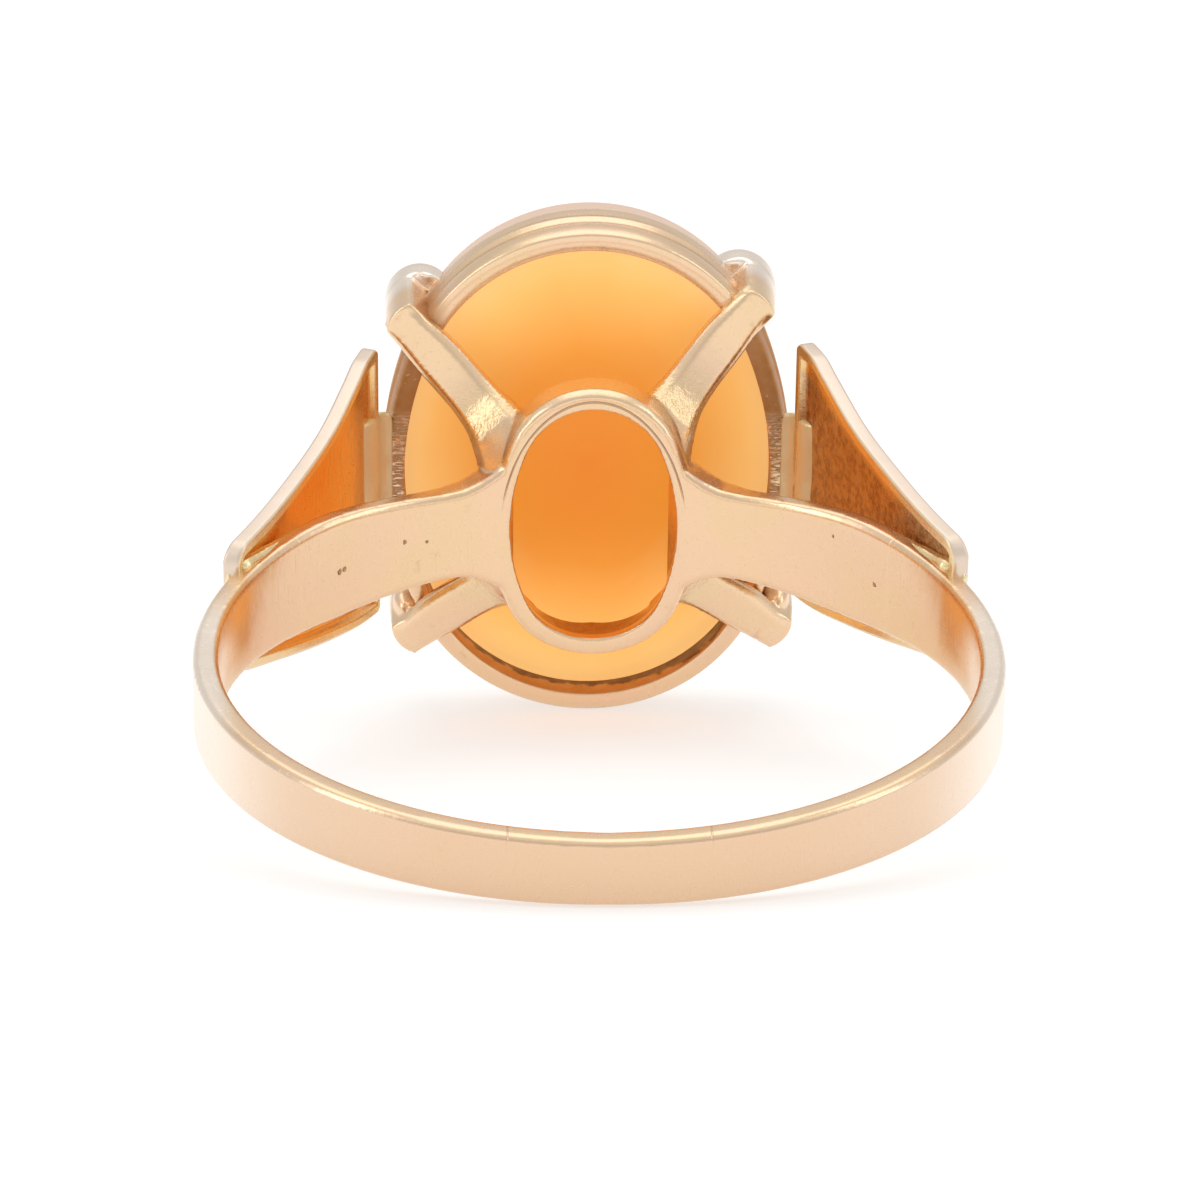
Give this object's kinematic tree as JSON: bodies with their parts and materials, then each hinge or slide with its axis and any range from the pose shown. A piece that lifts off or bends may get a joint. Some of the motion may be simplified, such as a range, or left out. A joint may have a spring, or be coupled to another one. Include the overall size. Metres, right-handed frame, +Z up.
{
  "type": "cameo ring",
  "caption": "Gold finger ring with a flat band, fan shoulders, a pierced gallery and an oval bezel whose petal claws hold a carved shell cameo.",
  "frame": {"origin": "centre of the finger bore", "axes": "+Z up from the surface that the ring lies on, +X across the ring, +Y from the finger to the head; the bore's axis leans back from +Z by the rest tilt of about 15 degrees"},
  "size_m": [0.0188, 0.0251, 0.013],
  "materials": {
    "gold": "polished rose-yellow gold, worn and finely scratched",
    "shell": "polished carved shell"
  },
  "bodies": {
    "root": {"setting": "gold", "cameo": "shell"}
  },
  "joints": []
}
